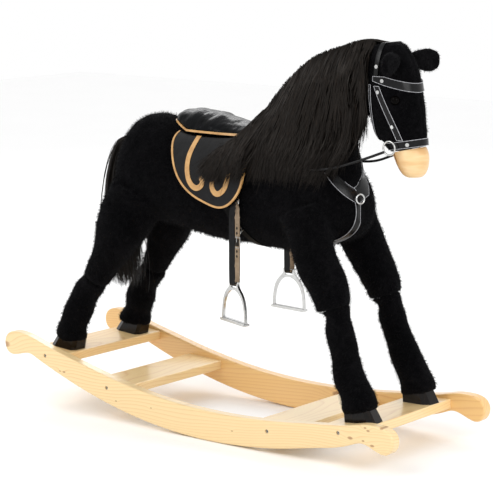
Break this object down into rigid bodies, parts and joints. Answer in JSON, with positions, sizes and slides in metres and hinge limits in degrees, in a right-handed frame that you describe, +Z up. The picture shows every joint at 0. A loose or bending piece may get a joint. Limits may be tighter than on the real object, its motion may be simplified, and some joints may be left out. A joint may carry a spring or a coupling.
{
  "type": "rocking horse",
  "caption": "Child's rocking horse: a black plush horse with saddle, bridle and swinging stirrups standing on a varnished pine base with two curved rockers and cross planks.",
  "frame": {"origin": "on the floor plane under the rockers' lowest points, midway along the base and midway between the rockers", "axes": "+X towards the horse's head, +Y to the horse's left, +Z up"},
  "size_m": [0.9942, 0.339, 0.7858],
  "materials": {
    "pine": "clear varnish",
    "muzzle_wood": "sanded and sealed",
    "zinc_steel": "zinc plated",
    "frame_tube": "plain",
    "hoof_plastic": "gloss",
    "plush": "short pile",
    "hair": "long straight hair",
    "eye_plastic": "gloss",
    "black_vinyl": "glossy",
    "tan_vinyl": "satin",
    "padding": "soft",
    "nickel": "polished"
  },
  "bodies": {
    "horse": {"bit_rings": "nickel", "breast_straps": "black_vinyl", "browband": "black_vinyl", "cheekpieces": "black_vinyl", "collar_ring": "nickel", "crown_strap": "black_vinyl", "ear_left": "plush", "ear_right": "plush", "eyes": "eye_plastic", "flap_applique": "tan_vinyl", "front_foot_slat": "pine", "front_hoof_plank": "pine", "front_leg_frame": "frame_tube", "front_lower_leg_left": "plush", "front_lower_leg_right": "plush", "front_upper_leg_left": "plush", "front_upper_leg_right": "plush", "girth_buckles": "nickel", "girth_strap": "black_vinyl", "hanger_rivets": "nickel", "head": "plush", "hoof_bolts": "zinc_steel", "hoof_front_left": "hoof_plastic", "hoof_front_right": "hoof_plastic", "hoof_nuts": "zinc_steel", "hoof_rear_left": "hoof_plastic", "hoof_rear_right": "hoof_plastic", "mane": "hair", "muzzle_lower": "muzzle_wood", "muzzle_upper": "muzzle_wood", "neck": "plush", "neck_post": "frame_tube", "noseband": "black_vinyl", "plank_screws": "zinc_steel", "rear_foot_slat": "pine", "rear_hoof_plank": "pine", "rear_leg_frame": "frame_tube", "rear_lower_leg_left": "plush", "rear_lower_leg_right": "plush", "rear_upper_leg_left": "plush", "rear_upper_leg_right": "plush", "reins": "black_vinyl", "rocker_left": "pine", "rocker_right": "pine", "saddle_flap_left": "black_vinyl", "saddle_flap_right": "black_vinyl", "saddle_pads": "padding", "saddle_piping": "tan_vinyl", "saddle_seat": "black_vinyl", "spine_tube": "frame_tube", "strap_studs": "nickel", "tail": "hair", "throatlatch": "black_vinyl", "torso": "plush"},
    "leather_left": {"stirrup_hanger_left": "nickel", "stirrup_leather_left": "black_vinyl"},
    "leather_right": {"stirrup_hanger_right": "nickel", "stirrup_leather_right": "black_vinyl"},
    "iron_left": {"stirrup_left": "nickel"},
    "iron_right": {"stirrup_right": "nickel"}
  },
  "joints": [
    {"name": "leather_swing_left", "type": "hinge", "parent": "horse", "child": "leather_left", "pos_m": [0.0624, 0.089, 0.484], "axis": [0, 1, 0], "range_deg": [-35, 35]},
    {"name": "iron_swing_left", "type": "hinge", "parent": "leather_left", "child": "iron_left", "pos_m": [0.0624, 0.089, 0.305], "axis": [0.9945, -0.1045, 0], "range_deg": [-40, 40]},
    {"name": "leather_swing_right", "type": "hinge", "parent": "horse", "child": "leather_right", "pos_m": [0.0624, -0.089, 0.484], "axis": [0, 1, 0], "range_deg": [-35, 35]},
    {"name": "iron_swing_right", "type": "hinge", "parent": "leather_right", "child": "iron_right", "pos_m": [0.0624, -0.089, 0.305], "axis": [0.9397, -0.342, 0], "range_deg": [-40, 40]}
  ]
}
